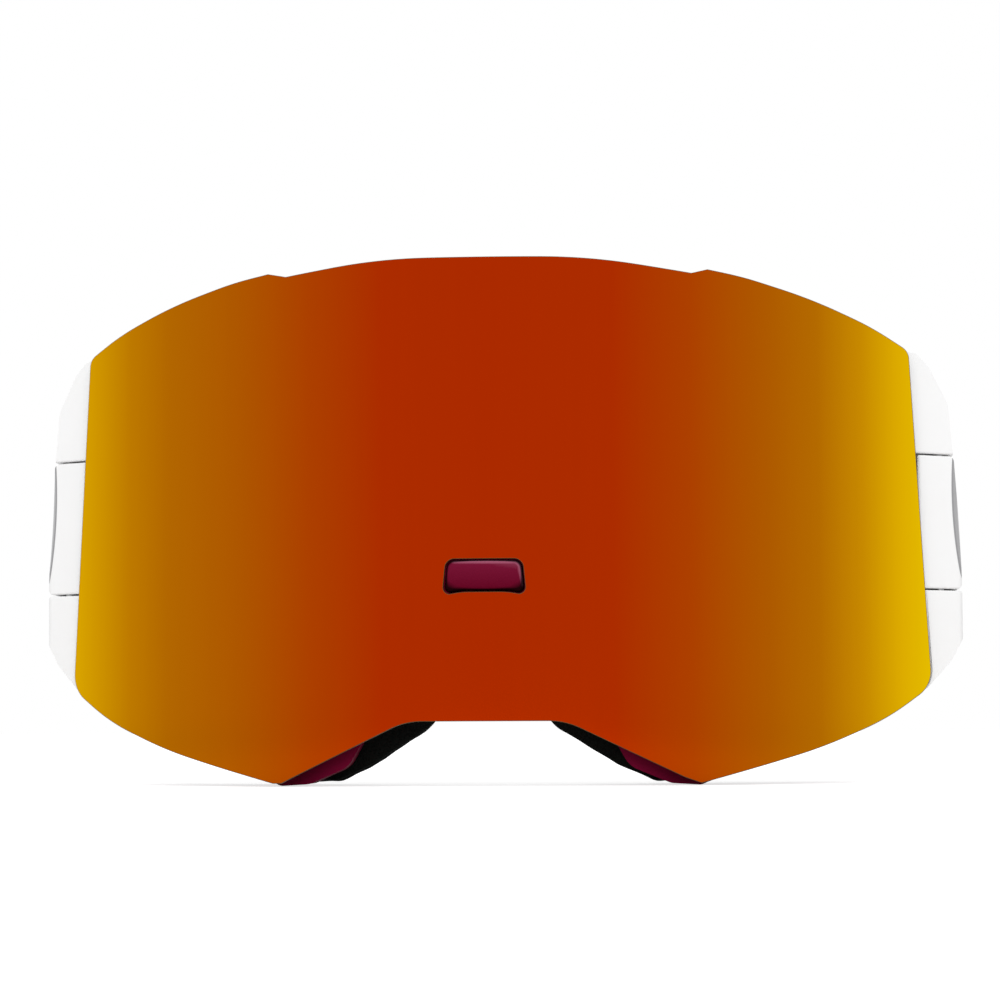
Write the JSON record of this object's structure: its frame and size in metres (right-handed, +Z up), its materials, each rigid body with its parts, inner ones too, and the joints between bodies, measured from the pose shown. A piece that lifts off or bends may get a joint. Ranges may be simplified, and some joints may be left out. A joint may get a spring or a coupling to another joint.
{
  "type": "ski goggles",
  "caption": "Ski goggles with a cylindrical mirror lens on magnets, a release button over the nose, layered face foam, white hinged outriggers and an adjustable elastic strap.",
  "frame": {"origin": "middle of the face seat, on the symmetry plane, 60 mm behind the front of the lens and 52 mm above the lowest point of the frame", "axes": "+X to the right when looking through the goggles' front from outside, +Y from the lens back to the wearer's head, +Z up towards the brow"},
  "size_m": [0.1906, 0.228, 0.1028],
  "materials": {
    "mirror_lens": "mirror coating, orange-red in the middle to yellow at the sides",
    "clear_lens": "clear",
    "spacer_foam": "closed-cell foam",
    "carrier_black": "matte",
    "magnet": "nickel plated",
    "frame_burgundy": "satin, fine grain",
    "button_burgundy": "matte, fine grain",
    "steel": "bright",
    "vent_foam": "open-cell foam",
    "face_foam": "soft foam",
    "fleece": "brushed fleece",
    "white_shell": "satin white",
    "strap_webbing": "woven elastic",
    "slider_black": "matte",
    "grip_silicone": "silicone"
  },
  "bodies": {
    "frame_body": {"frame": "frame_burgundy", "face_flange": "frame_burgundy", "frame_magnets": "magnet", "button_housing": "frame_burgundy", "button_spring": "steel", "brow_vent_foam": "vent_foam", "chin_vent_foam": "vent_foam", "foam_base": "face_foam", "foam_soft": "face_foam", "foam_fleece": "fleece", "cover_screws": "steel", "side_cover_left": "white_shell", "side_cover_right": "white_shell", "hinge_pin_left": "steel", "hinge_pin_right": "steel"},
    "lens_body": {"outer_lens": "mirror_lens", "lens_spacer": "spacer_foam", "inner_lens": "clear_lens", "lens_carrier": "carrier_black", "lens_magnets": "magnet"},
    "button_body": {"release_button": "button_burgundy"},
    "arm_left": {"outrigger_left": "white_shell", "strap_left": "strap_webbing", "strap_tail_left": "strap_webbing", "strap_grip_left": "grip_silicone"},
    "slider_left": {"strap_slider_left": "slider_black"},
    "arm_right": {"outrigger_right": "white_shell", "strap_right": "strap_webbing", "strap_tail_right": "strap_webbing", "strap_grip_right": "grip_silicone"},
    "slider_right": {"strap_slider_right": "slider_black"}
  },
  "joints": [
    {"name": "lens_release", "type": "slide", "parent": "frame_body", "child": "lens_body", "axis": [0, -1, 0], "range_m": [0, 0.03]},
    {"name": "button_press", "type": "slide", "parent": "frame_body", "child": "button_body", "axis": [0, 1, 0], "range_m": [0, 0.002], "stiffness_N_per_m": 800, "springref_m": -0.001, "deforming": ["button_spring"]},
    {"name": "outrigger_left_swing", "type": "hinge", "parent": "frame_body", "child": "arm_left", "pos_m": [-0.0903, -0.0066, 0], "axis": [0, 0, 1], "range_deg": [0, 15]},
    {"name": "slider_left_adjust", "type": "slide", "parent": "arm_left", "child": "slider_left", "axis": [0, -1, 0], "range_m": [0, 0.024], "deforming": ["strap_tail_left"]},
    {"name": "outrigger_right_swing", "type": "hinge", "parent": "frame_body", "child": "arm_right", "pos_m": [0.0903, -0.0066, 0], "axis": [0, 0, -1], "range_deg": [0, 15]},
    {"name": "slider_right_adjust", "type": "slide", "parent": "arm_right", "child": "slider_right", "axis": [0, -1, 0], "range_m": [0, 0.024], "deforming": ["strap_tail_right"]}
  ]
}
